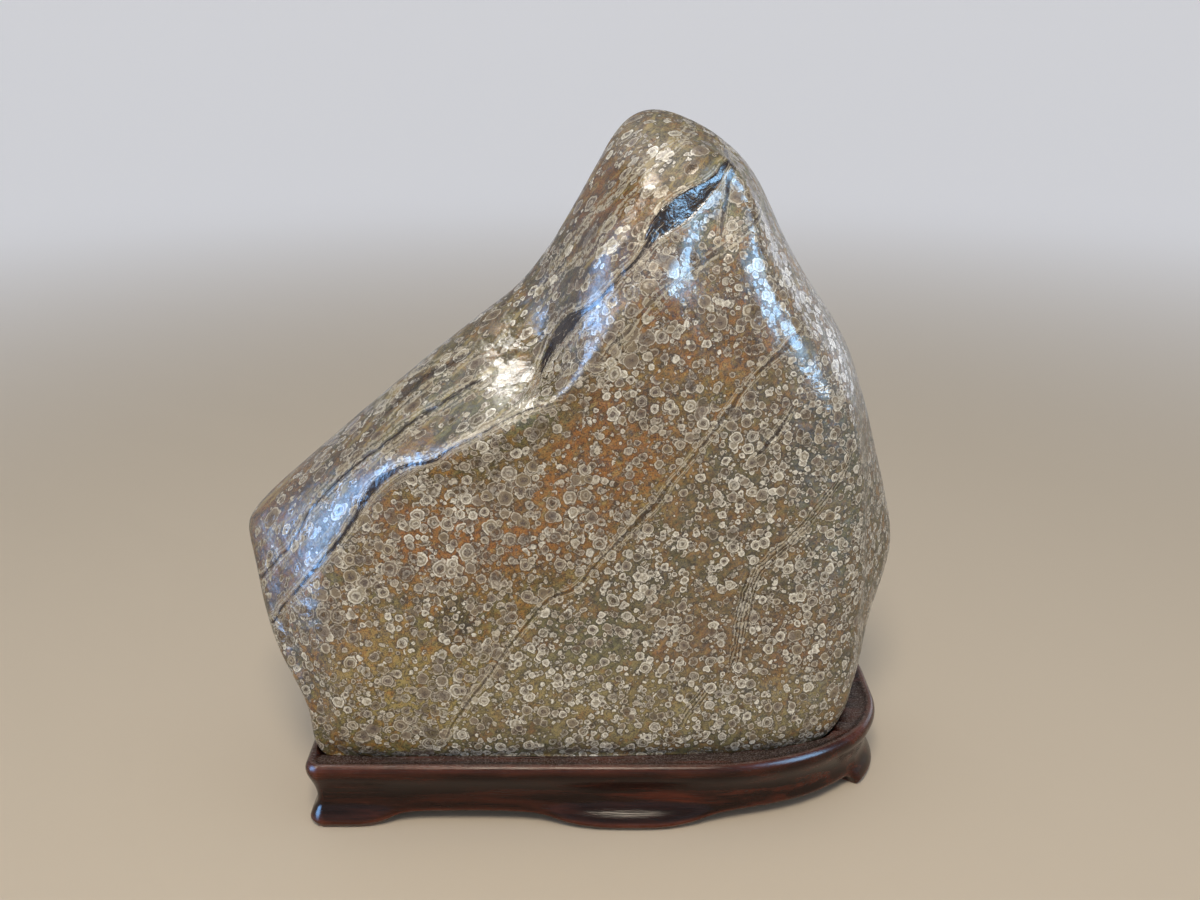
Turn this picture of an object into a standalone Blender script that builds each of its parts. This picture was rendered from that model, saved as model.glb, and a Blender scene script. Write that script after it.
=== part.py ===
"""Polished viewing stone in its carved hardwood stand.

Run with: blender --background --python part.py
Lengths in the tables are millimetres; MM turns them into Blender's metres.
X runs to the right along the stone's broad face, -Y is its front, +Z is up, and the
stand's feet rest on Z = 0.
"""

import math

import bmesh
import bpy
from mathutils import Vector

MM = 0.001
MERGE_DISTANCE = 0.00005

# --- the stone -------------------------------------------------------------------------
# The stone is a thick slab with rounded shoulders. Each station is one direction around
# its outline, clockwise from the lower left corner as seen from the front, and gives
#   ridge: where the broad front face turns over into the shoulder (x, y, z)
#   swell: how far the middle of the shoulder stands out (+) or is hollowed (-)
#   edge:  the front edge of the narrow side (x, y, z)
#   rear:  the back edge of the narrow side (x, y, z)
STONE_STATIONS = [
    # ridge          swell  edge             rear
    ((-76, -37, 28), 2.0, (-84, -26, 18), (-81, 26, 18)),  # lower left corner
    ((-79, -39, 46), 2.0, (-92, -27, 39), (-89, 24, 40)),
    ((-86, -36, 66), 2.0, (-105, -18, 61), (-100, 24, 62)),
    ((-87, -31, 90), 2.0, (-114, -3, 88), (-109, 25, 86)),  # left tip, lower
    ((-79, -28, 109), 2.0, (-114, 1, 100), (-108, 27, 98)),  # left tip, upper
    ((-63, -28, 126), 3.0, (-92, 4, 120), (-87, 29, 118)),
    ((-42, -32, 137), 3.0, (-60, 7, 147), (-55, 31, 142)),
    ((-20, -31, 147), 1.0, (-33, 10, 168), (-28, 32, 162)),
    ((-4, -28, 157), -0.5, (-19, 13, 179), (-14, 33, 173)),  # saddle below the peak
    ((9, -26, 174), 4.5, (-6, 15, 196), (-1, 34, 190)),
    ((25, -22, 194), 6.0, (7, 16, 218), (11, 34, 212)),
    ((36, -18, 206), 5.0, (17, 14, 229), (19, 31, 231)),  # peak, left corner
    ((44, -13, 214), 3.0, (33, 8, 229), (35, 31, 232)),
    ((52, -11, 213), 2.0, (50, 5, 220), (53, 29, 221)),  # peak, right corner
    ((57, -15, 198), 2.0, (60, 5, 209), (64, 27, 205)),
    ((64, -19, 178), 2.0, (72, 5, 187), (76, 26, 181)),
    ((77, -21, 159), 2.0, (87, 4, 165), (91, 25, 159)),
    ((87, -20, 138), 2.0, (97, 1, 138), (103, 25, 131)),
    ((92, -19, 110), 2.0, (101, -2, 105), (114, 23, 96)),  # right bulge, upper
    ((93, -20, 82), 2.0, (103, -3, 78), (116.5, 22, 73)),  # right bulge, lower
    ((92, -22, 56), 2.0, (101, -5, 51), (108, 20, 46)),
    ((82, -29, 32), 3.0, (89, -14, 18), (96, 20, 18)),  # lower right corner
    ((36, -35, 27), 1.0, (38, -28, 18), (40, 31, 18)),
    ((-24, -36, 27), 1.0, (-24, -31, 18), (-24, 32, 18)),
]
STONE_MIDDLE = (0, 5, 92)  # x, y, z that the stone is built around
FRONT_INSET = 0.16  # share of the way from the front ridge to the middle
FRONT_MIDDLE_Y = -38.0  # how far forward the front face stands at the middle
FRONT_FILL = 0.33  # share of the way from the ridge to there, at the inner ring
BACK_RIDGE_INSET = 0.13
BACK_INSET = 0.3
BACK_FOOT_Y = 41.0  # the back face at the foot of the stone
BACK_LEAN = 0.02  # how far it comes forward for each millimetre of height
BACK_CROWN = 2.0
RIDGE_CREASE = 0.1
STONE_LEVELS = 2
SETTLING_STEPS = 4
EVENING_STEPS = 20

# Smaller forms worked over the slab: (start, end), reach around that line, push out or in
STONE_FORMS = [
    (((-50, -25, 140), (-16, -22, 156)), 17, -2.0),  # hollow in the shoulder
    (((-18, -20, 157), (-12, -12, 166)), 13, -1.6),  # its deep end, below the saddle
    (((0, -18, 172), (40, -2, 214)), 16, 1.8),  # rounded roll up to the peak
    (((-4, -25, 164), (45, -14, 208)), 9, -0.9),  # worn seam along the roll
    (((28, -26, 186), (48, -20, 198)), 17, 1.0),  # swelling in front of the seam
    (((20, -10, 210), (8, -14, 194)), 16, 3.4),  # crest of the roll, kept to the left
    (((47, -14, 211), (36, -20, 194)), 17, -3.4),  # the roll falling away to its right
    (((-30, -22, 150), (-22, -22, 152)), 14, 1.4),  # bottom of the hollow turned forward
    (((-6, -22, 158), (-2, -14, 170)), 13, -1.2),  # and its far side
    (((58, -25, 176), (70, -22, 166)), 16, 1.0),  # swelling below the right shoulder
    (((82, -25, 76), (84, -25, 58)), 15, 1.2),  # low lump at the right
    (((-60, -38, 60), (-20, -38, 100)), 30, 0.8),  # faint swell across the front
    (((20, -38, 120), (60, -36, 60)), 28, -0.6),  # faint dip beside it
    (((-75, 38, 50), (-5, 40, 85)), 36, 2.0),  # swell low on the back
    (((0, 38, 140), (38, 34, 200)), 22, -4.0),  # hollow below the peak, at the back
    (((-95, 34, 100), (-30, 38, 125)), 18, -2.5),  # dip along the back of the shoulder
    (((45, 40, 50), (78, 34, 135)), 26, -3.0),  # long dip at the back
]

# --- the stand -------------------------------------------------------------------------
# Outline of the lip, anticlockwise from the front left corner: an elliptical quarter
# turn at each corner, joined by straight runs. (centre x, y), (radius x, y), first angle
STAND_CORNERS = [
    ((-86.5, -38), (6.5, 6.5), 180),
    ((44, 3), (66.5, 47.5), 270),
    ((88, 23.5), (22.5, 22.5), 0),
    ((-77, 30), (16, 16), 90),
]
STAND_TRACE = 1.5  # spacing of the points tried along the outline
STAND_TURN = 10.0  # one is kept where the outline has turned this many degrees
STAND_RISE = 0.24  # or where the apron has risen or fallen by this share of its height
STAND_FOOT_STEP = 9.0  # or where it has run this far along a foot
# Moulding rings from the seat over the lip to the waist: (inset from the lip, height)
STAND_MOULDING = [
    (12.0, 23.2),
    (5.0, 23.6),
    (3.2, 24.8),
    (1.8, 24.9),
    (0.6, 24.0),
    (0.0, 22.2),
    (0.3, 20.0),
    (1.6, 17.4),
    (3.0, 14.0),
    (3.6, 10.5),
]
# Rings below the waist, each as it runs along the apron and as it stands on a foot
STAND_SKIRT = [
    # apron (inset, height)  foot (inset, height)  share of the foot's swell
    ((3.4, 8.2), (3.0, 7.4), 0.2),
    ((3.3, 6.4), (1.4, 5.0), 0.8),
    ((3.8, 5.4), (0.6, 2.4), 1.0),
    ((4.6, 5.2), (2.0, 0.0), 0.8),
    ((11.0, 5.5), (11.0, 0.0), 0.0),
    ((12.0, 9.0), (12.0, 9.0), 0.0),
]
# Feet: (x, y) on the outline, half length of the level pad, length of the ogee beside
# it, how far the middle of the foot swells out
STAND_FEET = [
    ((-89, -42), 17, 16, 0.3),
    ((18, -44), 13, 25, 2.2),
    ((107, -7), 13, 4, 0.8),
    ((99, 43), 13, 14, 0.4),
    ((5, 46), 13, 20, 0.7),
    ((-89, 43), 14, 14, 0.3),
]
SEAT_CLEARANCE = 0.45  # between the stone and the seat carved for it


def clear_scene():
    for obj in list(bpy.data.objects):
        bpy.data.objects.remove(obj, do_unlink=True)


def make_collection(name):
    collection = bpy.data.collections.new(name)
    bpy.context.scene.collection.children.link(collection)
    return collection


def make_material(name, colour, roughness):
    material = bpy.data.materials.new(name)
    material.use_nodes = True
    shader = material.node_tree.nodes["Principled BSDF"]
    shader.inputs["Base Color"].default_value = (*colour, 1.0)
    shader.inputs["Roughness"].default_value = roughness
    shader.inputs["Metallic"].default_value = 0.0
    return material


def make_object(name, mesh, collection, material=None):
    obj = bpy.data.objects.new(name, mesh)
    collection.objects.link(obj)
    if material:
        mesh.materials.append(material)
    return obj


# --- stone -----------------------------------------------------------------------------
def drawn_in(point, share):
    """The x and z of a point, moved that share of the way to the stone's middle."""
    x, _, z = point
    return x + (STONE_MIDDLE[0] - x) * share, z + (STONE_MIDDLE[2] - z) * share


def shoulder_point(ridge, edge, swell):
    """Halfway from ridge to edge, moved out by the swell square to the line between."""
    line = (Vector(edge) - Vector(ridge)).normalized()
    halfway = (Vector(edge) + Vector(ridge)) / 2
    outward = halfway - Vector(STONE_MIDDLE)
    outward -= line * outward.dot(line)
    return halfway + outward.normalized() * swell


def stone_rings():
    """The cage's rings from the front face round the side to the back face."""
    rings = [[] for _ in range(7)]
    for ridge, swell, edge, rear in STONE_STATIONS:
        x, z = drawn_in(ridge, FRONT_INSET)
        y = ridge[1] + (FRONT_MIDDLE_Y - ridge[1]) * FRONT_FILL
        rings[0].append((x, y, z))
        rings[1].append(ridge)
        rings[2].append(shoulder_point(ridge, edge, swell))
        rings[3].append(edge)
        rings[4].append(rear)
        x, z = drawn_in(rear, BACK_RIDGE_INSET)
        rings[5].append((x, BACK_FOOT_Y - BACK_LEAN * z, z))
        x, z = drawn_in(rear, BACK_INSET)
        rings[6].append((x, BACK_FOOT_Y + BACK_CROWN - BACK_LEAN * z, z))
    return rings


def stone_cage():
    """A coarse cage of quads: rings joined round the side, a grid across each face."""
    cage = bmesh.new()
    crease = cage.edges.layers.float.new("crease_edge")
    rings = [
        [cage.verts.new(Vector(point) * MM) for point in ring] for ring in stone_rings()
    ]
    join_rings(cage, rings)
    for ring in rings[3:5]:
        for edge in ring_edges(cage, ring):
            edge[crease] = RIDGE_CREASE
    for ring in (rings[0], rings[-1]):
        fill_with_grid(cage, ring)
    bmesh.ops.recalc_face_normals(cage, faces=cage.faces)
    mesh = bpy.data.meshes.new("stone")
    cage.to_mesh(mesh)
    cage.free()
    mesh.shade_smooth()
    return mesh


def join_rings(body, rings):
    """Quads between each ring of vertices and the next."""
    for upper, lower in zip(rings, rings[1:]):
        for here in range(len(upper)):
            before = here - 1
            body.faces.new((upper[before], lower[before], lower[here], upper[here]))


def ring_edges(body, ring):
    return [body.edges.get((ring[here - 1], ring[here])) for here in range(len(ring))]


def fill_with_grid(cage, ring):
    """Fills a closed ring with quads stretched between two quarters of it, then evened."""
    quarter = len(ring) // 4
    edges = ring_edges(cage, ring)
    rails = edges[1 : 1 + quarter] + edges[1 + 2 * quarter : 1 + 3 * quarter]
    faces = bmesh.ops.grid_fill(cage, edges=rails)["faces"]
    inner = [vert for vert in cage.verts if set(vert.link_faces) <= set(faces)]
    for _ in range(EVENING_STEPS):
        bmesh.ops.smooth_vert(
            cage, verts=inner, factor=0.5, use_axis_x=True, use_axis_y=True, use_axis_z=True
        )


def add_subdivision(obj):
    modifier = obj.modifiers.new("smooth form", "SUBSURF")
    modifier.levels = STONE_LEVELS
    modifier.render_levels = STONE_LEVELS


def settle_on_stations(stone):
    """Moves the side's rings out until the smooth surface passes through the stations."""
    count = len(STONE_STATIONS)
    side = range(count, count * 6)
    wanted = [stone.data.vertices[index].co.copy() for index in side]
    for _ in range(SETTLING_STEPS):
        smooth = stone.evaluated_get(bpy.context.evaluated_depsgraph_get()).data
        reached = [smooth.vertices[index].co.copy() for index in side]
        for index, goal, point in zip(side, wanted, reached):
            stone.data.vertices[index].co += goal - point
        stone.data.update()


def distance_to_line(point, start, end):
    along = end - start
    share = (point - start).dot(along) / along.length_squared
    return (point - start - along * min(max(share, 0.0), 1.0)).length


def work_smaller_forms(mesh):
    """Pushes the surface out or in around each small form's line, fading with distance."""
    normals = [vertex.normal.copy() for vertex in mesh.vertices]
    for vertex, normal in zip(mesh.vertices, normals):
        push = 0.0
        for (start, end), reach, height in STONE_FORMS:
            away = distance_to_line(vertex.co / MM, Vector(start), Vector(end)) / reach
            if away < 1.0:
                push += height * (1 - away * away) ** 2
        vertex.co += normal * push * MM


def build_stone(collection, material):
    draft = make_object("stone_draft", stone_cage(), collection)
    add_subdivision(draft)
    settle_on_stations(draft)
    smooth = draft.evaluated_get(bpy.context.evaluated_depsgraph_get())
    mesh = bpy.data.meshes.new_from_object(smooth)
    bpy.data.objects.remove(draft)
    work_smaller_forms(mesh)
    mesh.shade_smooth()
    return make_object("stone", mesh, collection, material)


def build_seat_cutter(stone, collection):
    """The stone again, swollen by the clearance: the shape that the seat is carved to."""
    cutter = bpy.data.objects.new("seat_cutter", stone.data)
    collection.objects.link(cutter)
    swell = cutter.modifiers.new("clearance", "DISPLACE")
    swell.mid_level = 0.0
    swell.strength = SEAT_CLEARANCE * MM
    cutter.hide_render = True
    cutter.display_type = "WIRE"
    return cutter


# --- stand -----------------------------------------------------------------------------
def corner_points(centre, radii, first_angle):
    """One quarter turn of an ellipse, as (point, outward normal) pairs."""
    length = math.pi / 2 * math.sqrt((radii[0] ** 2 + radii[1] ** 2) / 2)
    steps = math.ceil(length / STAND_TRACE)
    found = []
    for step in range(steps + 1):
        angle = math.radians(first_angle + 90 * step / steps)
        across, along = math.cos(angle), math.sin(angle)
        point = Vector((centre[0] + radii[0] * across, centre[1] + radii[1] * along))
        normal = Vector((across / radii[0], along / radii[1])).normalized()
        found.append((point, normal))
    return found


def traced_outline():
    """The lip's outline as closely spaced (point, outward normal) pairs."""
    trace = []
    corners = [corner_points(*corner) for corner in STAND_CORNERS]
    for corner, following in zip(corners, corners[1:] + corners[:1]):
        trace += corner
        start, normal = corner[-1]
        run = following[0][0] - start
        steps = math.ceil(run.length / STAND_TRACE)
        trace += [(start + run * step / steps, normal) for step in range(1, steps)]
    return trace


def foot_shape(point):
    """How much of a foot there is here, from 0 along the apron to 1, and its swell."""
    weight, swell = 0.0, 0.0
    for (x, y), pad, ogee, foot_swell in STAND_FEET:
        away = (point - Vector((x, y))).length
        share = 1 - min(max((away - pad) / ogee, 0.0), 1.0)
        share *= share * (3 - 2 * share)
        if share > weight:
            weight, swell = share, foot_swell * (1 - (away / (pad + ogee)) ** 2)
    return weight, swell


def stand_outline():
    """Only the traced points that the corners and the feet need."""
    trace = traced_outline()
    weights = [foot_shape(point)[0] for point, _ in trace]
    kept = []
    for index, weight in enumerate(weights):
        normal = trace[index][1]
        level = weight in (0.0, 1.0)
        beside = (weights[index - 1], weights[(index + 1) % len(weights)])
        needed = not kept or level and beside != (weight, weight)
        if not needed:
            last = kept[-1]
            turn = math.degrees(normal.angle(trace[last][1]))
            rise = abs(weight - weights[last])
            run = (index - last) * STAND_TRACE if weight else 0.0
            needed = turn >= STAND_TURN or rise >= STAND_RISE or run >= STAND_FOOT_STEP
        if needed:
            kept.append(index)
    return [trace[index] for index in kept]


def inset_point(point, normal, inset):
    """The point moved in square to the outline, stopping where the two runs meet."""
    (left, front), (across, along), _ = STAND_CORNERS[0]
    x, y = point - normal * inset
    return max(x, left - across + inset), max(y, front - along + inset)


def stand_rings():
    """Every ring of the stand, from the seat to the underside, as lists of points."""
    outline = stand_outline()
    rings = []
    for inset, height in STAND_MOULDING:
        ring = [(*inset_point(*place, inset), height) for place in outline]
        rings.append(ring)
    for apron, foot, swollen in STAND_SKIRT:
        ring = []
        for point, normal in outline:
            weight, swell = foot_shape(point)
            inset = apron[0] + (foot[0] - apron[0]) * weight - swell * swollen * weight
            height = apron[1] + (foot[1] - apron[1]) * weight
            ring.append((*inset_point(point, normal, inset), height))
        rings.append(ring)
    return rings


def stand_mesh():
    body = bmesh.new()
    rings = [
        [body.verts.new(Vector(point) * MM) for point in ring] for ring in stand_rings()
    ]
    join_rings(body, rings)
    body.faces.new(rings[0])
    body.faces.new(list(reversed(rings[-1])))
    bmesh.ops.remove_doubles(body, verts=body.verts, dist=MERGE_DISTANCE)
    mesh = bpy.data.meshes.new("stand")
    body.to_mesh(mesh)
    body.free()
    mesh.shade_smooth()
    mesh.set_sharp_from_angle(angle=math.radians(40))
    return mesh


def build_stand(collection, material, cutter):
    stand = make_object("stand", stand_mesh(), collection, material)
    seat = stand.modifiers.new("seat", "BOOLEAN")
    seat.operation = "DIFFERENCE"
    seat.object = cutter
    return stand


def main():
    clear_scene()
    parts = make_collection("viewing_stone")
    cutters = make_collection("cutters")
    polished_stone = make_material("polished stone", (0.23, 0.19, 0.12), 0.22)
    dark_hardwood = make_material("dark hardwood", (0.055, 0.02, 0.014), 0.3)
    stone = build_stone(parts, polished_stone)
    cutter = build_seat_cutter(stone, cutters)
    build_stand(parts, dark_hardwood, cutter)


main()
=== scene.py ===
import math

import bpy
import numpy as np
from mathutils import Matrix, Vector, noise


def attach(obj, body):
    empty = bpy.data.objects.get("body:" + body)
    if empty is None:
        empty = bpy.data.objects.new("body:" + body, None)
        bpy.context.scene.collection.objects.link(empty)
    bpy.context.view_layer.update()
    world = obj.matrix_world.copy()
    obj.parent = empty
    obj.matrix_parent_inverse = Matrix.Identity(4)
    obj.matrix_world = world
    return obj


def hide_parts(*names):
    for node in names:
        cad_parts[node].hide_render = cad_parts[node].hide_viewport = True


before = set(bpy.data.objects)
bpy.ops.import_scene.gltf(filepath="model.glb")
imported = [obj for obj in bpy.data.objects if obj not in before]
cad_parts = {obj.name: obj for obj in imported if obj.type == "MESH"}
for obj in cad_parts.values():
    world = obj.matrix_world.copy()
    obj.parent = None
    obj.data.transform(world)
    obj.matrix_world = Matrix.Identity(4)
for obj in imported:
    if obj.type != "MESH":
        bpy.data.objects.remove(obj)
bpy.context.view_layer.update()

millimetre = 0.001
print("frame loaded:", ", ".join(sorted(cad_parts)))


# helpers for meshes

def pickOnly(thing):
    # operators act on all that is selected, and the loaded nodes start selected
    bpy.ops.object.select_all(action="DESELECT")
    thing.select_set(True)
    bpy.context.view_layer.objects.active = thing


def weldedCopy(nodeName, pieceName, mergeDistance):
    # the node's loose triangles become one welded mesh of quads, in an object of its own
    piece = bpy.data.objects.new(pieceName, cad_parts[nodeName].data.copy())
    bpy.context.scene.collection.objects.link(piece)
    piece.data.materials.clear()
    pickOnly(piece)
    bpy.ops.object.mode_set(mode="EDIT")
    bpy.ops.mesh.select_all(action="SELECT")
    bpy.ops.mesh.customdata_custom_splitnormals_clear()
    bpy.ops.mesh.remove_doubles(threshold=mergeDistance)
    bpy.ops.mesh.tris_convert_to_quads(face_threshold=math.pi, shape_threshold=math.pi)
    bpy.ops.object.mode_set(mode="OBJECT")
    return piece


def applySubdivision(piece, levels):
    rounding = piece.modifiers.new("rounding", "SUBSURF")
    rounding.levels = levels
    rounding.render_levels = levels
    pickOnly(piece)
    bpy.ops.object.modifier_apply(modifier=rounding.name)


def ofVertices(piece, what):
    # what is "co" for their places or "normal"
    values = np.zeros(len(piece.data.vertices) * 3, np.float32)
    piece.data.vertices.foreach_get(what, values)
    return values.reshape(-1, 3).astype(float)


# helpers for shader nodes

def put(tree, value, socket):
    # another node's output is linked, a plain value is set, None leaves the socket as it is
    if isinstance(value, bpy.types.NodeSocket):
        tree.links.new(value, socket)
    elif value is not None:
        socket.default_value = value


def calc(tree, operation, first, second=None, third=None):
    step = tree.nodes.new("ShaderNodeMath")
    step.operation = operation
    for value, socket in zip((first, second, third), step.inputs):
        put(tree, value, socket)
    return step.outputs[0]


def moveBy(tree, operation, first, second=None, scale=None):
    step = tree.nodes.new("ShaderNodeVectorMath")
    step.operation = operation
    put(tree, first, step.inputs[0])
    if scale is None:
        put(tree, second, step.inputs[1])
    else:
        put(tree, scale, step.inputs["Scale"])
    return step.outputs["Value" if operation == "LENGTH" else "Vector"]


def fade(tree, value, low, high, start=0.0, end=1.0):
    # smooth step: start below low, end above high
    step = tree.nodes.new("ShaderNodeMapRange")
    step.interpolation_type = "SMOOTHSTEP"
    for given, label in ((value, "Value"), (low, "From Min"), (high, "From Max"), (start, "To Min"),
                         (end, "To Max")):
        put(tree, given, step.inputs[label])
    return step.outputs["Result"]


def blend(tree, factor, under, over):
    step = tree.nodes.new("ShaderNodeMix")
    step.data_type = "RGBA"
    # by number, because the colour sockets share their names with those for plain values
    for value, number in ((factor, 0), (under, 6), (over, 7)):
        put(tree, value, step.inputs[number])
    return step.outputs[2]


def cloud(tree, vector, scale, detail=2.0, roughness=0.5, colour=False):
    step = tree.nodes.new("ShaderNodeTexNoise")
    put(tree, vector, step.inputs["Vector"])
    put(tree, scale, step.inputs["Scale"])
    put(tree, detail, step.inputs["Detail"])
    put(tree, roughness, step.inputs["Roughness"])
    return step.outputs["Color" if colour else "Fac"]


def stretched(tree, vector, turn, sizes):
    # a place in axes that are turned by these degrees and whose steps are these sizes in mm
    step = tree.nodes.new("ShaderNodeMapping")
    step.vector_type = "TEXTURE"
    put(tree, vector, step.inputs["Vector"])
    step.inputs["Rotation"].default_value = [math.radians(angle) for angle in turn]
    step.inputs["Scale"].default_value = sizes
    return step.outputs["Vector"]


def alongVeins(tree, vector, sizes):
    # sizes along the veins, through the stone and across the veins
    return stretched(tree, vector, (0, -stone["veinTurn"], 0), sizes)


def bumpFrom(tree, surface, height):
    # height in mm
    bump = tree.nodes.new("ShaderNodeBump")
    bump.inputs["Strength"].default_value = 1.0
    bump.inputs["Distance"].default_value = millimetre
    put(tree, height, bump.inputs["Height"])
    put(tree, bump.outputs[0], surface.inputs["Normal"])


def newGroup(name, takes, gives):
    # takes: label -> plain value, whose kind sets the socket's kind; gives: labels of outputs
    group = bpy.data.node_groups.new(name, "ShaderNodeTree")
    for label, value in takes.items():
        kind = {0: "NodeSocketFloat", 3: "NodeSocketVector", 4: "NodeSocketColor"}[
            len(value) if isinstance(value, tuple) else 0]
        group.interface.new_socket(name=label, in_out="INPUT", socket_type=kind).default_value = value
    for label, kind in gives.items():
        group.interface.new_socket(name=label, in_out="OUTPUT", socket_type="NodeSocket" + kind)
    start = group.nodes.new("NodeGroupInput")
    end = group.nodes.new("NodeGroupOutput")
    return group, start.outputs, end.inputs


def useGroup(tree, group, **values):
    step = tree.nodes.new("ShaderNodeGroup")
    step.node_tree = group
    for label, value in values.items():
        put(tree, value, step.inputs[label])
    return step.outputs


def newMaterial(name):
    # object coordinates come out in millimetres
    material = bpy.data.materials.new(name)
    material.use_nodes = True
    tree = material.node_tree
    surface = tree.nodes["Principled BSDF"]
    place = tree.nodes.new("ShaderNodeTexCoord").outputs["Object"]
    return material, tree, surface, moveBy(tree, "SCALE", place, scale=1 / millimetre)


# the stone

stone = {
    "mergeDistance": 0.000001,  # in metres
    "refineLevels": 2,
    "sheetLean": 0.32,  # how far a vein shifts across for each step back through the stone
    "sheetFace": -33,  # depth in mm at which the veins are where their points say
    "undulation": (0.16, 17),  # height and width in mm of the waves left by hand polishing
    "wavesBetween": (24, 30),  # heights in mm over which they set in, above the seat
    "veinTurn": 46,  # how steeply the veins climb to the right, in degrees
    "ior": 1.52,
    "roughness": (0.12, 0.6),  # of the ground: least, and how much more where it is coarse
    "patchShare": 0.85,  # how strongly the patches colour the ground, 0 to 1
    "patchDepth": 120,  # how far in mm a patch reaches through the stone, and a rubbed or dull spot
    "glossDepth": 60,
    "orbShine": 0.74,  # how much smoother the orbs are than that, 0 to 1
    "veinShine": 0.5,
    "grainRelief": 0.14,  # heights in mm of the unevenness left in the polish, by fineness
    "smallRelief": 0.32,
    "broadRelief": 0.9,
    "grooveSlope": 0.36,  # how far a wide vein falls away to one side, per mm
}

# each vein is a sheet through the stone: across, up and half width in mm along its line on the front
stoneVeins = {
    "veinShoulder": ((-118, 50, .1), (-101, 68, .3), (-97, 75, .25), (-91, 84, .3), (-87, 90, .45),
                     (-82, 96, .55), (-76, 103, .55), (-70, 111, .65), (-65, 119, 1.0), (-59, 125, .8),
                     (-52, 129, .35), (-45, 131, .5), (-38, 136, .3), (-30, 140, .25), (-22, 144, .18),
                     (-13, 148, .15), (-1, 151, .1)),
    "veinUpper": ((-112, 68, .15), (-103, 81, .25), (-97, 90, .28), (-91, 98, .22), (-85, 108, .2),
                  (-77, 117, .2), (-66, 127, .2), (-52, 137, .25), (-39, 145, .35),
                  (-29, 151, .25), (-20, 155, .1)),
    "veinCrest": ((-57, 138, .1), (-50, 144, .35), (-42, 150, .45), (-33, 155, .35), (-24, 160, .1)),
    "veinPeak": ((-6, 156, .3), (-2, 162, .6), (2, 169, .8), (5, 174, .9), (8, 177, .6), (12, 181, .4),
                 (18, 188, .4), (21, 191, .45), (25, 195, .6), (28, 199, 1.6), (32, 203, 3.0), (38, 207, 3.8),
                 (43, 210, 3.4), (48, 213, 2.4), (52, 216, 1.5), (55, 219, 1.1), (62, 222, .8)),
    "veinPeakSide": ((60, 220, .8), (56, 216, .9), (55, 211, .5), (53, 205, .6), (51, 199, .1)),
    "veinMiddle": ((9, 163, .1), (13, 168, .45), (18, 172, .6), (23, 178, .5), (28, 183, .7), (36, 187, .7),
                   (43, 191, .8), (53, 197, .7), (65, 204, .5), (76, 210, .1)),
    "veinWaved": ((-2, 156, .1), (6, 160, .3), (12, 161, .3), (18, 168, .3), (25, 177, .4), (33, 184, .3),
                  (43, 190, .1)),
    "veinFine": ((53, 229, .2), (45, 227, .2), (31, 218, .2), (22, 209, .2), (15, 200, .2), (6, 187, .2),
                 (-1, 176, .1)),
    "veinLong": ((-46, 31, .1), (-43, 38, .3), (-37, 47, .4), (-31, 55, .3), (-24, 65, .25), (-17, 74, .3),
                 (-9, 83, .4), (0, 87, .45), (6, 94, .3), (12, 100, .25), (21, 109, .8), (28, 116, .7),
                 (32, 122, .3), (37, 128, .25), (41, 133, .3), (45, 138, .3), (48, 142, .7),
                 (51, 146, .9), (55, 152, .4), (62, 160, .3), (67, 164, .7), (72, 168, .9), (77, 171, .2)),
    "veinShort": ((59, 130, .1), (62, 133, .5), (67, 139, .6), (70, 144, .2), (73, 149, .1)),
    "bundleRight": ((52, 54, .5), (54, 59, 2.2), (56, 69, 2.8), (58, 80, 3.2), (62, 91, 2.8),
                    (73, 101, 2.6), (83, 112, 2.2), (92, 123, 1.8), (97, 131, .5)),
    "bundleFoot": ((34, 34, .3), (38, 41, 2.2), (42, 46, 2.4), (46, 51, .3)),
    # no vein, only the edge below which the orbs crowd together
    "crownEdge": ((-118, 50, 0), (-91, 84, 0), (-70, 111, 0), (-45, 131, 0), (-22, 144, 0), (-6, 156, 0),
                  (8, 177, 0), (25, 195, 0), (43, 210, 0), (62, 222, 0)),
}

# how each vein shows: wander across in mm, gap to the pale edging in mm, how dark it is, how much is a bundle
veinManner = {
    "veinShoulder": (0.35, 0.55, 1.0, 0.0),
    "veinUpper": (0.3, 0.5, 0.9, 0.0),
    "veinCrest": (0.5, 0.6, 0.7, 0.0),
    "veinPeak": (0.35, 0.6, 1.0, 0.0),
    "veinPeakSide": (0.4, 0.5, 0.85, 0.0),
    "veinMiddle": (0.4, 0.25, 0.45, 0.0),
    "veinWaved": (1.2, 0.5, 0.2, 0.0),
    "veinFine": (0.5, 0.5, 0.3, 0.0),
    "veinLong": (0.3, 0.5, 0.6, 0.0),
    "veinShort": (0.3, 0.5, 0.8, 0.0),
    "bundleRight": (0.8, 0.5, 0.6, 1.0),
    "bundleFoot": (0.6, 0.5, 0.6, 1.0),
}


def smoothLine(points, stepsBetween=6):
    # a soft curve through the points, ends kept
    points = np.array(points, float)
    padded = np.vstack([2 * points[0] - points[1], points, 2 * points[-1] - points[-2]])
    curve = []
    for i in range(1, len(padded) - 2):
        a, b, c, d = padded[i - 1:i + 3]
        for t in np.arange(stepsBetween) / stepsBetween:
            curve.append(0.5 * (2 * b + (c - a) * t + (2 * a - 5 * b + 4 * c - d) * t ** 2
                                + (3 * b - a - 3 * c + d) * t ** 3))
    curve.append(points[-1])
    return np.array(curve)


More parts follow.
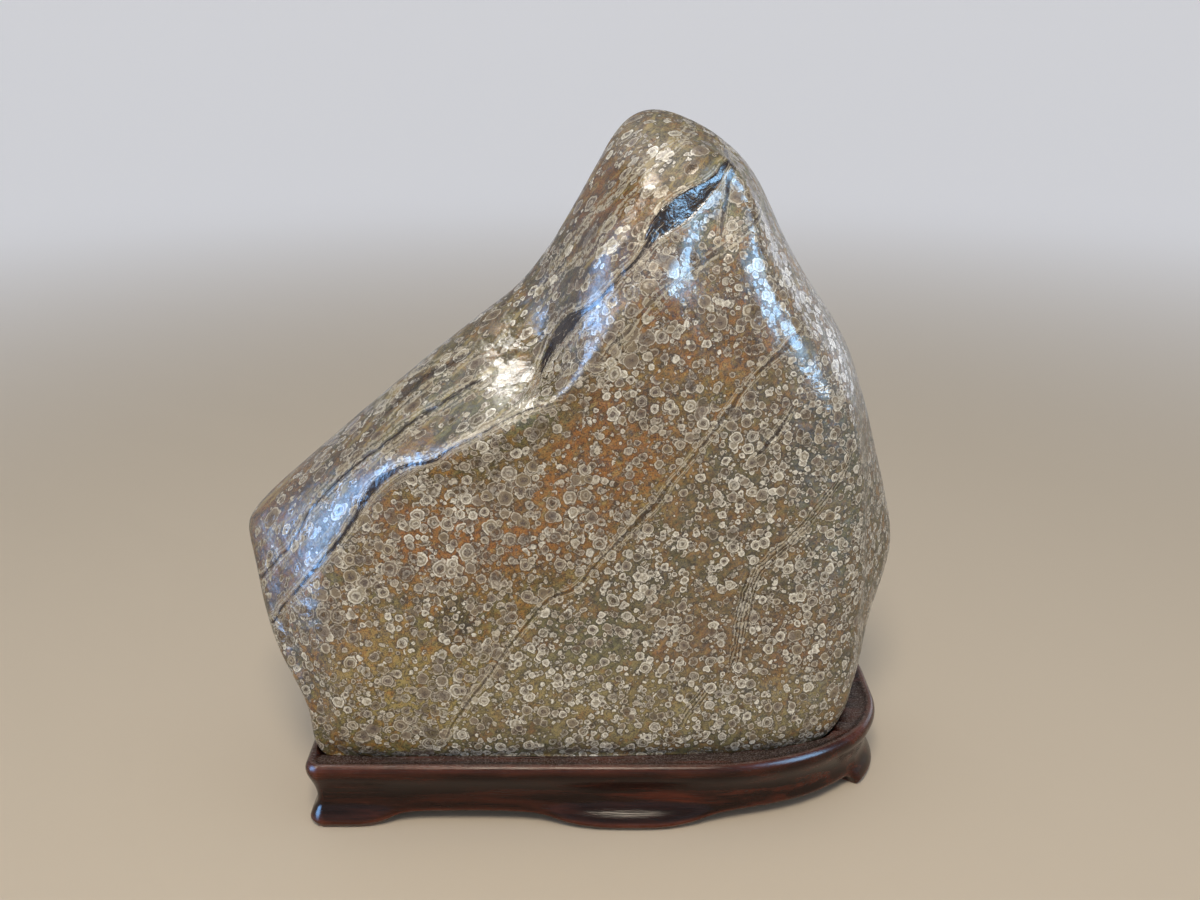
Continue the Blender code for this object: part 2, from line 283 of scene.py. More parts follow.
def layVein(piece, name, points):
    # each vertex gets: distance from the sheet, the sheet's half width there, way along it, all in mm
    places = ofVertices(piece, "co") / millimetre
    across = places[:, 0] + stone["sheetLean"] * (places[:, 1] - stone["sheetFace"])
    flat = np.stack([across, places[:, 2]], 1)
    line = smoothLine(points)
    best = np.full(len(flat), 1e9)
    field = np.zeros((len(flat), 3))
    gone = 0.0
    for i in range(len(line) - 1):
        start, run = line[i, :2], line[i + 1, :2] - line[i, :2]
        length = np.hypot(*run)
        t = np.clip(((flat - start) @ run) / length ** 2, 0, 1)
        off = flat - (start + t[:, None] * run)
        far = np.hypot(off[:, 0], off[:, 1])
        side = np.sign(run[0] * off[:, 1] - run[1] * off[:, 0])
        nearer = far < best - 1e-9
        best = np.where(nearer, far, best)
        width = line[i, 2] + t * (line[i + 1, 2] - line[i, 2])
        found = np.stack([far * side, width, gone + t * length], 1)
        field[nearer] = found[nearer]
        gone += length
    layer = piece.data.attributes.new(name, "FLOAT_VECTOR", "POINT")
    layer.data.foreach_set("vector", field.astype(np.float32).ravel())
    return field


def polishWaves(piece, height, width):
    # the long low waves that grinding by hand leaves, pushed along the normals
    places, normals = ofVertices(piece, "co"), ofVertices(piece, "normal")
    rise = np.array([noise.fractal(Vector(p) / (width * millimetre), 1.0, 2.0, 2) for p in places])
    low, high = stone["wavesBetween"]
    # the foot stays as its seat was cut
    inside = np.clip((places[:, 2] / millimetre - low) / (high - low), 0, 1)
    places += normals * ((rise - 0.35) * height * millimetre * inside)[:, None]
    piece.data.vertices.foreach_set("co", places.astype(np.float32).ravel())
    piece.data.update()


stonePiece = weldedCopy("stone", "polishedStone", stone["mergeDistance"])
applySubdivision(stonePiece, stone["refineLevels"])
polishWaves(stonePiece, *stone["undulation"])
for veinName, veinPoints in stoneVeins.items():
    layVein(stonePiece, veinName, veinPoints)
pickOnly(stonePiece)
bpy.ops.object.shade_smooth()
print("stone:", len(stonePiece.data.polygons), "faces")


# the stand

stand = {
    "mergeDistance": 0.000001,  # in metres
    "refineLevels": 2,
    "wornCurve": 600,  # the bend, per metre, at which an edge counts as fully proud, for its wear and its painted sheen
    "sharpAngle": 38,  # edges sharper than this stay crisp, in degrees
    "crispness": 0.85,
    "grainTurn": (0, 2, -3),  # the grain runs nearly along the stand: its turn in degrees
    "grainSizes": (42, 6, 4),  # length, depth and height in mm of its bands, and of its pores
    "poreSizes": (7, 0.45, 0.35),
    "grainRelief": 0.06,  # heights in mm
    "poreDepth": 0.03,
    "ior": 1.34,
    "roughness": 0.11,
    "grainRoughness": 0.12,  # added along the bands of the grain, in the pores, under dust and on the proud edges
    "poreRoughness": 0.1,
    "dustRoughness": 0.3,
    "wornRoughness": 0.12,
    "redShare": 0.8,
    "poreShare": 0.7,
    "wornShare": 0.55,
    "dustShare": 0.85,
}


def creaseSharpEdges(piece, degrees, crease):
    pickOnly(piece)
    bpy.ops.object.mode_set(mode="EDIT")
    bpy.ops.mesh.select_mode(type="EDGE")
    bpy.ops.mesh.select_all(action="DESELECT")
    bpy.ops.mesh.edges_select_sharp(sharpness=math.radians(degrees))
    bpy.ops.transform.edge_crease(value=crease)
    bpy.ops.object.mode_set(mode="OBJECT")


def markProudEdges(piece):
    # how far each vertex stands proud of its neighbours, 0 in flats and hollows to 1 on edges
    places, normals = ofVertices(piece, "co"), ofVertices(piece, "normal")
    ends = np.zeros(len(piece.data.edges) * 2, np.int32)
    piece.data.edges.foreach_get("vertices", ends)
    a, b = ends.reshape(-1, 2).T
    run = places[b] - places[a]
    run /= np.maximum(np.linalg.norm(run, axis=1), 1e-9)[:, None] ** 2
    proud = np.zeros(len(places))
    np.add.at(proud, a, -(run * normals[a]).sum(1))
    np.add.at(proud, b, (run * normals[b]).sum(1))
    for _ in range(3):  # evened over the neighbours
        total, count = proud.copy(), np.ones(len(proud))
        np.add.at(total, a, proud[b])
        np.add.at(total, b, proud[a])
        np.add.at(count, a, 1)
        np.add.at(count, b, 1)
        proud = total / count
    layer = piece.data.attributes.new("edgeProudness", "FLOAT", "POINT")
    layer.data.foreach_set("value", np.clip(proud / stand["wornCurve"], 0, 1).astype(np.float32))


standPiece = weldedCopy("stand", "rosewoodStand", stand["mergeDistance"])
creaseSharpEdges(standPiece, stand["sharpAngle"], stand["crispness"])
applySubdivision(standPiece, stand["refineLevels"])
pickOnly(standPiece)
bpy.ops.object.shade_smooth()
markProudEdges(standPiece)
print("stand:", len(standPiece.data.polygons), "faces")


# materials

def paint(red, green, blue):
    # a colour as it is picked on screen, turned into the linear one that a shader takes
    linear = [((c / 255 + 0.055) / 1.055) ** 2.4 if c > 10 else c / 255 / 12.92 for c in (red, green, blue)]
    return (*linear, 1)


stonePaint = {
    "ochre": paint(156, 114, 46),
    "rust": paint(162, 102, 36),
    "umber": paint(52, 41, 26),
    "olive": paint(104, 96, 52),
    "moss": paint(118, 124, 82),
    "straw": paint(172, 156, 98),
    "greyGround": paint(108, 104, 98),
    "rim": paint(236, 235, 226),
    "rimDull": paint(203, 198, 184),
    "filling": paint(140, 131, 128),
    "fillingWarm": paint(138, 125, 100),
    "fillingPale": paint(182, 179, 163),
    "heart": paint(86, 76, 76),
    "halo": paint(48, 39, 27),
    "slit": paint(40, 30, 28),
    "edging": paint(184, 177, 156),
}

# where the ground between the orbs turns one colour: across, up, reach across and up in mm, strength
stonePatches = {
    "rust": ((-42, 103, 34, 17, 1.0), (12, 137, 24, 22, 1.0), (-100, 100, 16, 24, .8), (14, 205, 16, 22, .9),
             (-6, 112, 26, 20, .8), (45, 172, 26, 18, .6), (36, 66, 22, 14, .6), (-70, 66, 14, 16, .6),
             (70, 62, 18, 18, .5), (27, 182, 10, 14, .9)),
    "moss": ((-30, 146, 28, 10, 1.0), (6, 62, 24, 16, .9), (-12, 32, 60, 12, .7), (84, 118, 18, 34, .6),
             (45, 214, 10, 10, .8), (-80, 106, 16, 14, .5), (60, 36, 26, 14, .6)),
    "straw": ((-35, 50, 40, 20, .85), (20, 44, 40, 16, .9), (-62, 56, 24, 24, .6), (70, 40, 24, 16, .6),
              (22, 224, 22, 8, .5)),
    "umber": ((-40, 75, 7, 12, .9), (21, 147, 7, 7, .9), (-44, 150, 16, 7, .35), (-26, 138, 7, 8, .5),
              (-22, 115, 9, 6, .5), (72, 132, 16, 16, .6), (2, 158, 14, 14, .5), (42, 182, 22, 16, .4),
              (13, 192, 16, 12, .5), (-6, 174, 12, 14, .5)),
}

# the darker, dull-rimmed crowd right of the middle: across, up, reach across and up in mm
lilacSpots = ((20, 128, 30, 26), (-8, 92, 26, 14), (40, 158, 22, 14))

# the ground's mottle: channel of the cloud, where in it a paint starts and is full, its strength, the paint
stoneMottle = (
    (0, 0.54, 0.66, 0.6, "olive"), (0, 0.46, 0.36, 0.6, "rust"), (1, 0.54, 0.66, 0.7, "umber"),
    (1, 0.45, 0.34, 0.6, "straw"), (2, 0.55, 0.66, 0.5, "greyGround"), (2, 0.44, 0.32, 0.5, "moss"),
)

# where ground and orbs alike were rubbed brighter or left duller, given as for the patches
stoneGloss = ((-17, 158, 15, 12, .75), (19, 212, 7, 12, .7), (25, 226, 18, 9, -.9), (24, 192, 9, 8, -.9),
              (47, 205, 7, 10, -.9))

# orbs: spheres scattered in the stone and cut by its surface, all in mm
orbLayers = {
    "small": {"cell": 1.9, "smallest": 0.35, "largest": 0.95, "share": 0.6, "rim": 0.28, "start": 11},
    "middling": {"cell": 3.3, "smallest": 0.8, "largest": 1.9, "share": 0.78, "rim": 0.38, "start": 37},
    "large": {"cell": 4.8, "smallest": 1.3, "largest": 2.9, "share": 0.62, "rim": 0.44, "start": 97},
}


def orbDepths(group, place, cell, takes):
    # how deep inside its nearest orb each place is in mm, that orb's radius and its chance value
    cells = group.nodes.new("ShaderNodeTexVoronoi")
    cells.inputs["Scale"].default_value = 1
    cells.inputs["Randomness"].default_value = 0.95
    put(group, moveBy(group, "DIVIDE", place, cellSides(group, cell)), cells.inputs["Vector"])
    chance = group.nodes.new("ShaderNodeSeparateColor")
    put(group, cells.outputs["Color"], chance.inputs[0])
    away = calc(group, "MULTIPLY", cells.outputs["Distance"], cell)
    radius = calc(group, "MULTIPLY_ADD", calc(group, "SUBTRACT", takes["Largest"], takes["Smallest"]),
                  calc(group, "POWER", chance.outputs[0], 1.2), takes["Smallest"])
    missing = calc(group, "GREATER_THAN", chance.outputs[1], takes["Share"])
    depth = calc(group, "SUBTRACT", radius, away)
    depth = calc(group, "SUBTRACT", depth, calc(group, "MULTIPLY", missing, 50))  # far outside, so never seen
    return depth, radius, chance.outputs[2]


def makeOrbGroup():
    # two scatterings at once, so that orbs that touch have run together inside one rim
    group, takes, gives = newGroup(
        "orb layer",
        {"Place": (0.0, 0.0, 0.0), "Cell": 6.0, "Smallest": 1.0, "Largest": 3.0, "Share": 0.6, "Rim": 0.5},
        dict.fromkeys(("Inside", "Rim", "Heart", "Tone", "Halo", "Kind"), "Float"))
    depth, radius, tone = orbDepths(group, takes["Place"], takes["Cell"], takes)
    otherCell = calc(group, "MULTIPLY", takes["Cell"], 1.17)
    otherDepth, otherRadius, otherTone = orbDepths(
        group, moveBy(group, "ADD", takes["Place"], (53, 29, 71)), otherCell, takes)
    deeper = calc(group, "GREATER_THAN", otherDepth, depth)
    depth = calc(group, "MAXIMUM", depth, otherDepth)
    radius = calc(group, "MULTIPLY_ADD", calc(group, "SUBTRACT", otherRadius, radius), deeper, radius)
    tone = calc(group, "MULTIPLY_ADD", calc(group, "SUBTRACT", otherTone, tone), deeper, tone)
    kind = calc(group, "FRACT", calc(group, "MULTIPLY", tone, 7.0))
    inside = fade(group, depth, -0.09, 0.09)
    rimEnd = calc(group, "MULTIPLY", takes["Rim"], calc(group, "MULTIPLY_ADD", kind, 1.0, 0.8))
    rimStart = calc(group, "MULTIPLY", rimEnd, 0.2)
    rim = fade(group, depth, rimStart, rimEnd, 1.0, 0.0)
    heart = fade(group, calc(group, "DIVIDE", depth, radius), 0.35, 0.75)
    put(group, inside, gives["Inside"])
    # some have a second ring part of the way in
    inward = calc(group, "SUBTRACT", calc(group, "DIVIDE", depth, radius), 0.45)
    ring = fade(group, calc(group, "ABSOLUTE", inward), 0.03, 0.12, 0.55, 0.0)
    ring = calc(group, "MULTIPLY", ring, fade(group, kind, 0.35, 0.5))
    put(group, calc(group, "MULTIPLY", inside, calc(group, "MAXIMUM", rim, ring)), gives["Rim"])
    put(group, calc(group, "MULTIPLY", inside, heart), gives["Heart"])
    put(group, tone, gives["Tone"])
    put(group, kind, gives["Kind"])
    put(group, fade(group, depth, -0.7, -0.02), gives["Halo"])
    return group


def cellSides(tree, value):
    step = tree.nodes.new("ShaderNodeCombineXYZ")
    for socket in step.inputs:
        put(tree, value, socket)
    return step.outputs[0]


def makeVeinGroup():
    # Field is what layVein wrote: distance, half width, way along
    group, takes, gives = newGroup(
        "vein",
        {"Field": (0.0, 0.0, 0.0), "Place": (0.0, 0.0, 0.0), "Wander": 0.5, "Edge": 0.5, "Darkness": 1.0,
         "Bundle": 0.0},
        {"Dark": "Float", "Pale": "Float", "Groove": "Float"})
    parts = group.nodes.new("ShaderNodeSeparateXYZ")
    put(group, takes["Field"], parts.inputs[0])
    distance, halfWidth, along = parts.outputs
    slow = calc(group, "SUBTRACT", cloud(group, takes["Place"], 0.22, 2.0), 0.5)
    quick = calc(group, "SUBTRACT", cloud(group, takes["Place"], 1.1, 1.0), 0.5)
    shift = calc(group, "MULTIPLY", calc(group, "MULTIPLY_ADD", quick, 0.4, slow), takes["Wander"])
    place = calc(group, "MULTIPLY_ADD", shift, 2.4, distance)
    reach = calc(group, "ABSOLUTE", place)
    live = fade(group, halfWidth, 0.06, 0.16)
    inside = calc(group, "SUBTRACT", halfWidth, reach)
    single = calc(group, "SUBTRACT", 1.0, takes["Bundle"])
    stretch = group.nodes.new("ShaderNodeCombineXYZ")
    put(group, calc(group, "MULTIPLY", place, 1.1), stretch.inputs[0])
    put(group, calc(group, "MULTIPLY", along, 0.09), stretch.inputs[1])
    streak = cloud(group, stretch.outputs[0], 1.6, 3.0, 0.6)
    # one slit: dark, broken here and there, with a pale line along each edge and a fainter one beyond
    slit = calc(group, "MULTIPLY", fade(group, inside, -0.1, 0.14), fade(group, streak, 0.34, 0.47))
    slit = calc(group, "MULTIPLY", slit, single)
    edgings = None
    for far, strength in ((1.0, 1.0), (2.3, 0.7)):
        off = calc(group, "ABSOLUTE", calc(group, "ADD", inside, calc(group, "MULTIPLY", takes["Edge"], far)))
        line = calc(group, "MULTIPLY", fade(group, off, 0.08, 0.30, 1.0, 0.0), strength)
        edgings = line if edgings is None else calc(group, "MAXIMUM", edgings, line)
    edgings = calc(group, "MULTIPLY", edgings, fade(group, quick, -0.14, 0.04))
    edgings = calc(group, "MULTIPLY", edgings, single)
    # a bundle: fine pale and dark lines side by side
    phase = calc(group, "MULTIPLY_ADD", streak, 9.0, calc(group, "MULTIPLY", place, 5.4))
    ripple = calc(group, "SINE", phase)
    bundled = calc(group, "MULTIPLY", takes["Bundle"], fade(group, inside, -0.2, 0.7))
    strands = calc(group, "MULTIPLY", fade(group, ripple, -0.1, -0.7), bundled)
    paleStrands = calc(group, "MULTIPLY", fade(group, ripple, 0.35, 0.8), bundled)
    dark = calc(group, "MULTIPLY", calc(group, "MAXIMUM", slit, strands), takes["Darkness"])
    put(group, calc(group, "MULTIPLY", dark, live), gives["Dark"])
    put(group, calc(group, "MULTIPLY", calc(group, "MAXIMUM", edgings, paleStrands), live), gives["Pale"])
    # where a vein is wide it is ground down to a slope that falls away to one side
    wide = calc(group, "MULTIPLY", fade(group, halfWidth, 0.9, 2.2), fade(group, inside, -0.2, 0.6))
    put(group, calc(group, "MULTIPLY", wide, place), gives["Groove"])
    return group


def makePatchGroup():
    group, takes, gives = newGroup(
        "patch",
        {"Place": (0.0, 0.0, 0.0), "Centre": (0.0, 0.0, 0.0), "Reach": (1.0, 1.0, 1.0), "Ragged": 0.0,
         "Strength": 1.0},
        {"Mask": "Float"})
    away = moveBy(group, "DIVIDE", moveBy(group, "SUBTRACT", takes["Place"], takes["Centre"]), takes["Reach"])
    near = calc(group, "ADD", moveBy(group, "LENGTH", away), takes["Ragged"])
    mask = fade(group, near, 0.55, 1.25, 1.0, 0.0)
    put(group, calc(group, "MULTIPLY", mask, takes["Strength"]), gives["Mask"])
    return group


def fieldOf(tree, name):
    step = tree.nodes.new("ShaderNodeAttribute")
    step.attribute_name = name
    return step.outputs["Vector"]


def distanceIn(tree, field):
    step = tree.nodes.new("ShaderNodeSeparateXYZ")
    put(tree, field, step.inputs[0])
    return step.outputs[0]


orbGroup = makeOrbGroup()
veinGroup = makeVeinGroup()
patchGroup = makePatchGroup()

stoneMaterial, tree, surface, place = newMaterial("polished orb stone")
crown = fade(tree, distanceIn(tree, fieldOf(tree, "crownEdge")), -1, 1.5)
rightSide = fade(tree, distanceIn(tree, fieldOf(tree, "veinLong")), 4, -8)


def patchMask(spot, ragged, strength, depth):
    # spot: across, up, reach across and up in mm
    across, up, reachAcross, reachUp = spot
    return useGroup(tree, patchGroup, Place=place, Centre=(across, 0, up),
                    Reach=(reachAcross, depth, reachUp), Ragged=ragged, Strength=strength)["Mask"]


lilac = None
for spot in lilacSpots:
    mask = patchMask(spot, 0.0, 1.0, stone["patchDepth"])
    lilac = mask if lilac is None else calc(tree, "MAXIMUM", lilac, mask)

# the ground: ochre and olive, patches of rust, moss, straw and umber, all of it mottled through
broad = cloud(tree, place, 0.035, 3.0, 0.6)
medium = cloud(tree, place, 0.14, 3.0, 0.6)
fine = cloud(tree, place, 0.9, 3.0, 0.65)
ragged = calc(tree, "MULTIPLY_ADD", medium, 1.5, -0.75)
ground = blend(tree, fade(tree, medium, 0.42, 0.60), stonePaint["olive"], stonePaint["ochre"])
for colourName, spots in stonePatches.items():
    for *spot, strength in spots:
        mask = patchMask(spot, ragged, strength, stone["patchDepth"])
        ground = blend(tree, calc(tree, "MULTIPLY", mask, stone["patchShare"]), ground,
                       stonePaint[colourName])
mottle = tree.nodes.new("ShaderNodeSeparateColor")
put(tree, cloud(tree, alongVeins(tree, place, (1.5, 1, 1)), 0.34, 4.0, 0.68, colour=True), mottle.inputs[0])
for channel, low, high, strength, colourName in stoneMottle:
    ground = blend(tree, fade(tree, mottle.outputs[channel], low, high, 0.0, strength), ground,
                   stonePaint[colourName])
grain = cloud(tree, place, 2.2, 2.0, 0.6)
for specks, low, high, strength, colourName in (
        (fine, 0.52, 0.68, 0.75, "umber"), (fine, 0.45, 0.32, 0.35, "straw"),
        (grain, 0.53, 0.63, 0.75, "umber"), (grain, 0.44, 0.35, 0.35, "straw")):
    ground = blend(tree, fade(tree, specks, low, high, 0.0, strength), ground, stonePaint[colourName])
ground = blend(tree, calc(tree, "MULTIPLY", rightSide, 0.25), ground, stonePaint["greyGround"])

# soft streaks that run with the veins, strongest above them
flow = cloud(tree, alongVeins(tree, place, (24, 9, 1.7)), 1.0, 3.0, 0.6)
flowShare = calc(tree, "MULTIPLY_ADD", crown, 0.4, 0.15)
# the crown is darkened with umber: partly its own browner tone, partly painted shade that offsets the
# stronger light falling on its upward faces
ground = blend(tree, calc(tree, "MULTIPLY", crown, 0.34), ground, stonePaint["umber"])
for start, end, colourName in ((0.53, 0.66, "straw"), (0.47, 0.36, "umber")):
    streaks = calc(tree, "MULTIPLY", fade(tree, flow, start, end), flowShare)
    ground = blend(tree, streaks, ground, stonePaint[colourName])

# orbs, small ones first; above the crown's edge they are drawn out along the veins
wobble = moveBy(tree, "SUBTRACT", cloud(tree, place, 0.5, 3.0, 0.6, colour=True), (0.5, 0.5, 0.5))
wobbled = moveBy(tree, "ADD", place, moveBy(tree, "SCALE", wobble, scale=1.8))
drawnOut = moveBy(tree, "SUBTRACT", alongVeins(tree, wobbled, (1.6, 1, 1)), wobbled)
wobbled = moveBy(tree, "ADD", wobbled, moveBy(tree, "SCALE", drawnOut, scale=crown))
crowd = fade(tree, cloud(tree, place, 0.06, 2.0, 0.5), 0.4, 0.6, 0.55, 1.25)
crowd = calc(tree, "MULTIPLY", crowd, calc(tree, "MULTIPLY_ADD", crown, -0.5, 1.0))
uneven = calc(tree, "MULTIPLY", fade(tree, fine, 0.68, 0.45, 0.35, 1.0),
              fade(tree, grain, 0.66, 0.5, 0.6, 1.0))
brighter = fade(tree, broad, 0.42, 0.58, -0.2, 0.25)
heartShare = fade(tree, grain, 0.38, 0.6, 0.35, 1.0)
fillingShade = calc(tree, "MAXIMUM", fade(tree, fine, 0.5, 0.7, 0.0, 0.5),
                    fade(tree, grain, 0.54, 0.64, 0.0, 0.45))
stoneColour = ground
polish = None
shrunk = calc(tree, "MULTIPLY_ADD", lilac, -0.25, calc(tree, "MULTIPLY_ADD", rightSide, -0.25, 1.0))
crowd = calc(tree, "MULTIPLY_ADD", rightSide, 0.3, crowd)
for layer in orbLayers.values():
    largest = calc(tree, "MULTIPLY", shrunk, layer["largest"])
    share = calc(tree, "MULTIPLY", crowd, layer["share"])
    orbs = useGroup(tree, orbGroup, Place=moveBy(tree, "ADD", wobbled, (layer["start"], 0, 0)),
                    Cell=layer["cell"], Smallest=layer["smallest"], Largest=largest, Rim=layer["rim"],
                    Share=share)
    # some have a bright broad rim, most a dull one, and in a few the ground shows through
    bright = calc(tree, "ADD", brighter, calc(tree, "MULTIPLY_ADD", rightSide, 0.3, orbs["Kind"]))
    bright = fade(tree, calc(tree, "MULTIPLY_ADD", lilac, -0.3, bright), 0.45, 0.95)
    filling = blend(tree, orbs["Tone"], stonePaint["filling"], stonePaint["fillingWarm"])
    filling = blend(tree, calc(tree, "MULTIPLY", bright, 0.6), filling, stonePaint["fillingPale"])
    filling = blend(tree, fillingShade, filling, stonePaint["heart"])
    filling = blend(tree, calc(tree, "MULTIPLY", orbs["Heart"], heartShare), filling, stonePaint["heart"])
    solid = fade(tree, orbs["Tone"], 0.1, 0.6, 0.3, 0.9)
    rimColour = blend(tree, bright, stonePaint["rimDull"], stonePaint["rim"])
    stoneColour = blend(tree, calc(tree, "MULTIPLY", orbs["Halo"], 0.5), stoneColour, stonePaint["halo"])
    stoneColour = blend(tree, calc(tree, "MULTIPLY", orbs["Inside"], solid), stoneColour, filling)
    rimShare = calc(tree, "MULTIPLY", uneven, fade(tree, orbs["Tone"], 0.1, 0.5, 0.65, 1.0))
    stoneColour = blend(tree, calc(tree, "MULTIPLY", orbs["Rim"], rimShare), stoneColour, rimColour)
    polish = orbs["Inside"] if polish is None else calc(tree, "MAXIMUM", polish, orbs["Inside"])

# veins over everything
veinDark = None
for veinName, (wander, edge, darkness, bundle) in veinManner.items():
    vein = useGroup(tree, veinGroup, Field=fieldOf(tree, veinName), Place=place, Wander=wander, Edge=edge,
                    Darkness=darkness, Bundle=bundle)
    paleShare = calc(tree, "MULTIPLY", vein["Pale"], 0.5 if bundle else 0.85)
    stoneColour = blend(tree, paleShare, stoneColour, stonePaint["edging"])
    stoneColour = blend(tree, vein["Dark"], stoneColour, stonePaint["slit"])
    veinDark = vein["Dark"] if veinDark is None else calc(tree, "MAXIMUM", veinDark, vein["Dark"])
    if veinName == "veinPeak":
        groove = vein["Groove"]
put(tree, stoneColour, surface.inputs["Base Color"])

# gloss: orbs and veins take a higher polish than the ground
surface.inputs["IOR"].default_value = stone["ior"]
for *spot, change in stoneGloss:
    mask = patchMask(spot, ragged, abs(change), stone["glossDepth"])
    polish = calc(tree, "MAXIMUM" if change > 0 else "SUBTRACT", polish, mask)
least, coarser = stone["roughness"]
rough = calc(tree, "MULTIPLY_ADD", fine, coarser, least)
rough = calc(tree, "MULTIPLY", rough, calc(tree, "MULTIPLY_ADD", polish, -stone["orbShine"], 1.0))
rough = calc(tree, "MULTIPLY", rough, calc(tree, "MULTIPLY_ADD", veinDark, -stone["veinShine"], 1.0))
put(tree, rough, surface.inputs["Roughness"])
relief = calc(tree, "MULTIPLY", cloud(tree, place, 0.3, 1.0), stone["smallRelief"])
relief = calc(tree, "MULTIPLY_ADD", fine, stone["grainRelief"], relief)
relief = calc(tree, "MULTIPLY_ADD", cloud(tree, place, 0.11, 1.0), stone["broadRelief"], relief)
relief = calc(tree, "MULTIPLY_ADD", groove, stone["grooveSlope"], relief)
bumpFrom(tree, surface, relief)
stonePiece.data.materials.append(stoneMaterial)
print("stone material:", len(tree.nodes), "nodes")

standPaint = {
    "deep": paint(30, 14, 10),
    "brown": paint(54, 26, 18),
    "red": paint(96, 42, 27),
    "pore": paint(18, 10, 8),
    # lighter red-brown for proud edges: partly their wear, partly a painted warm sheen on the lip
    "worn": paint(116, 60, 40),
    "dust": paint(128, 115, 108),
}

standMaterial, tree, surface, place = newMaterial("dark rosewood")
bands = cloud(tree, stretched(tree, place, stand["grainTurn"], stand["grainSizes"]), 1.0, 4.0, 0.62)
figure = cloud(tree, place, 0.03, 2.0, 0.5)
pores = cloud(tree, stretched(tree, place, (0, 0, 0), stand["poreSizes"]), 1.0, 2.0, 0.5)
wood = blend(tree, fade(tree, bands, 0.38, 0.62), standPaint["deep"], standPaint["brown"])
redder = fade(tree, bands, 0.5, 0.72, 0.0, stand["redShare"])
redder = calc(tree, "MULTIPLY", redder, fade(tree, figure, 0.42, 0.62, 0.2, 1.0))
wood = blend(tree, redder, wood, standPaint["red"])
wood = blend(tree, fade(tree, pores, 0.56, 0.66, 0.0, stand["poreShare"]), wood, standPaint["pore"])
proudness = tree.nodes.new("ShaderNodeAttribute")
proudness.attribute_name = "edgeProudness"
# proud edges turn lighter and redder: partly real wear, partly a painted warm sheen along the lip
edgeBreakup = fade(tree, cloud(tree, place, 0.06, 4.0, 0.6), 0.35, 0.65, 0.35, 1.0)
worn = calc(tree, "MULTIPLY", fade(tree, proudness.outputs["Fac"], 0.2, 0.8), edgeBreakup)
wood = blend(tree, calc(tree, "MULTIPLY", worn, stand["wornShare"]), wood, standPaint["worn"])
facing = tree.nodes.new("ShaderNodeSeparateXYZ")
put(tree, tree.nodes.new("ShaderNodeNewGeometry").outputs["Normal"], facing.inputs[0])
upward = fade(tree, facing.outputs[2], 0.85, 0.99)
specks = fade(tree, cloud(tree, place, 1.6, 3.0, 0.7), 0.5, 0.66, 0.2, 1.0)
dusty = calc(tree, "MULTIPLY", upward, specks)
wood = blend(tree, calc(tree, "MULTIPLY", dusty, stand["dustShare"]), wood, standPaint["dust"])
put(tree, wood, surface.inputs["Base Color"])
surface.inputs["IOR"].default_value = stand["ior"]
rough = calc(tree, "MULTIPLY_ADD", bands, stand["grainRoughness"], stand["roughness"])
rough = calc(tree, "MULTIPLY_ADD", fade(tree, pores, 0.5, 0.66), stand["poreRoughness"], rough)
rough = calc(tree, "MULTIPLY_ADD", dusty, stand["dustRoughness"], rough)
rough = calc(tree, "MULTIPLY_ADD", worn, stand["wornRoughness"], rough)
put(tree, rough, surface.inputs["Roughness"])
hollows = calc(tree, "MULTIPLY", pores, -stand["poreDepth"])
bumpFrom(tree, surface, calc(tree, "MULTIPLY_ADD", bands, stand["grainRelief"], hollows))
standPiece.data.materials.append(standMaterial)
print("stand material:", len(tree.nodes), "nodes")

for piece, nodeName, slotName in ((stonePiece, "stone", "stone"), (standPiece, "stand", "hardwood")):
    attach(piece, "root")
    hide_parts(nodeName)


# floor, light and camera

studio = {
    "floorRadius": 1.3,
    "floorSides": 128,
    "sweep": 0.9,  # radius in metres of the bend from floor to wall
    "sweepSteps": 12,
    "wallFrom": (350, 1500),  # distances in mm over which the floor's colour turns into the wall's
    "floorColour": (0.67, 0.60, 0.50, 1),
    "wallColour": (0.62, 0.61, 0.60, 1),
    "wallGlow": (0.32, 0.33, 0.36, 1),
    "worldColour": (0.92, 0.95, 1.0, 1),
    "worldStrength": 0.39,
    "cameraPlace": (0.008, -0.3875, 0.264),
    "cameraTilt": 70,
    "lens": 36,
    "lampsAim": (0, 0, 0.12),  # where the lamps point, in metres
}

bpy.ops.object.select_all(action="DESELECT")
bpy.ops.mesh.primitive_circle_add(vertices=studio["floorSides"], radius=studio["floorRadius"],
                                  fill_type="TRIFAN")
floor = bpy.context.active_object
floor.name = "floor"
bpy.ops.object.mode_set(mode="EDIT")
bpy.ops.mesh.select_mode(type="EDGE")
bpy.ops.mesh.select_all(action="SELECT")
bpy.ops.mesh.region_to_loop()
sweepRadius = studio["floorRadius"]
for step in range(studio["sweepSteps"]):  # the floor rises into a wall all round
    before, after = (math.radians(90 * (step + i) / studio["sweepSteps"]) for i in (0, 1))
    rise = studio["sweep"] * (math.cos(before) - math.cos(after))
    grown = studio["floorRadius"] + studio["sweep"] * math.sin(after)
    bpy.ops.mesh.extrude_edges_move(TRANSFORM_OT_translate={"value": (0, 0, rise)})
    bpy.ops.transform.resize(value=(grown / sweepRadius, grown / sweepRadius, 1))
    sweepRadius = grown
bpy.ops.object.mode_set(mode="OBJECT")
bpy.ops.object.shade_smooth()
floorMaterial, tree, surface, place = newMaterial("pale paper")
far = fade(tree, moveBy(tree, "LENGTH", place), *studio["wallFrom"])
put(tree, blend(tree, far, studio["floorColour"], studio["wallColour"]), surface.inputs["Base Color"])
put(tree, blend(tree, far, (0, 0, 0, 1), studio["wallGlow"]), surface.inputs["Emission Color"])
surface.inputs["Emission Strength"].default_value = 1.0
surface.inputs["Roughness"].default_value = 1.0
surface.inputs["Specular IOR Level"].default_value = 0.0  # no mirror image of a lamp on the floor
floor.data.materials.append(floorMaterial)

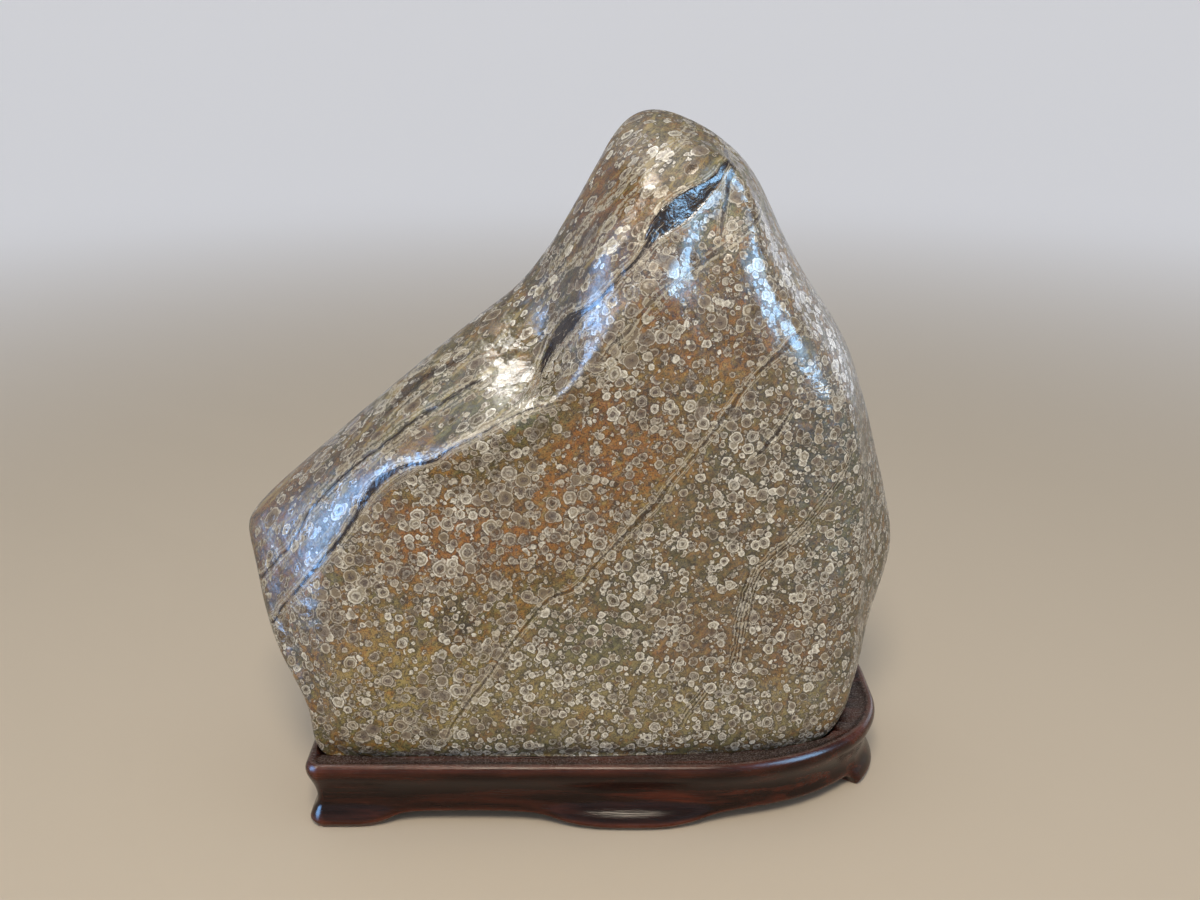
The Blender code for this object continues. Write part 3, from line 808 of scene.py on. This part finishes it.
world = bpy.data.worlds.new("soft studio")
bpy.context.scene.world = world
world.use_nodes = True
background = world.node_tree.nodes["Background"]
background.inputs["Color"].default_value = studio["worldColour"]
background.inputs["Strength"].default_value = studio["worldStrength"]

lamps = {
    # name: turn to the right and height in degrees, distance and sizes in metres, watts, colour
    "windowLeft": (-69, 13, 1.1, (0.54, 0.8), 31, (0.26, 0.53, 1.0)),
    "windowRight": (55, 22, 1.1, (0.44, 0.7), 23, (0.34, 0.64, 1.0)),
    "lampLeft": (-60, 44, 1.0, (0.26, 0.26), 3.9, (1.0, 0.92, 0.78)),
    "lampAbove": (-112, 74, 0.9, (0.32, 0.28), 7.0, (1.0, 0.97, 0.90)),
    "paperRight": (126, 6, 1.2, (0.6, 0.5), 2.2, (0.80, 0.88, 1.0)),
    "ceiling": (-3, 53, 1.0, (0.30, 0.30), 5.9, (1.0, 0.86, 0.68)),
}
aim = Vector(studio["lampsAim"])
for name, (turn, height, distance, size, watts, colour) in lamps.items():
    turn, height = math.radians(turn), math.radians(height)
    spot = aim + distance * Vector((math.sin(turn) * math.cos(height), -math.cos(turn) * math.cos(height),
                                    math.sin(height)))
    light = bpy.data.lights.new(name, "AREA")
    light.shape = "RECTANGLE"
    light.size, light.size_y = size
    light.energy = watts
    light.color = colour
    lamp = bpy.data.objects.new(name, light)
    bpy.context.scene.collection.objects.link(lamp)
    lamp.location = spot
    lamp.rotation_mode = "QUATERNION"
    lamp.rotation_quaternion = (aim - spot).to_track_quat("-Z", "Y")
    lamp.visible_camera = False
    lamp.visible_diffuse = name == "ceiling"  # the others are only seen mirrored in the polish

cameraData = bpy.data.cameras.new("camera")
cameraData.sensor_width = 36
cameraData.lens = studio["lens"]
camera = bpy.data.objects.new("camera", cameraData)
bpy.context.scene.collection.objects.link(camera)
camera.location = studio["cameraPlace"]
camera.rotation_euler = (math.radians(studio["cameraTilt"]), 0, 0)
bpy.context.scene.camera = camera
bpy.context.scene.view_settings.view_transform = "Standard"
print("studio ready")
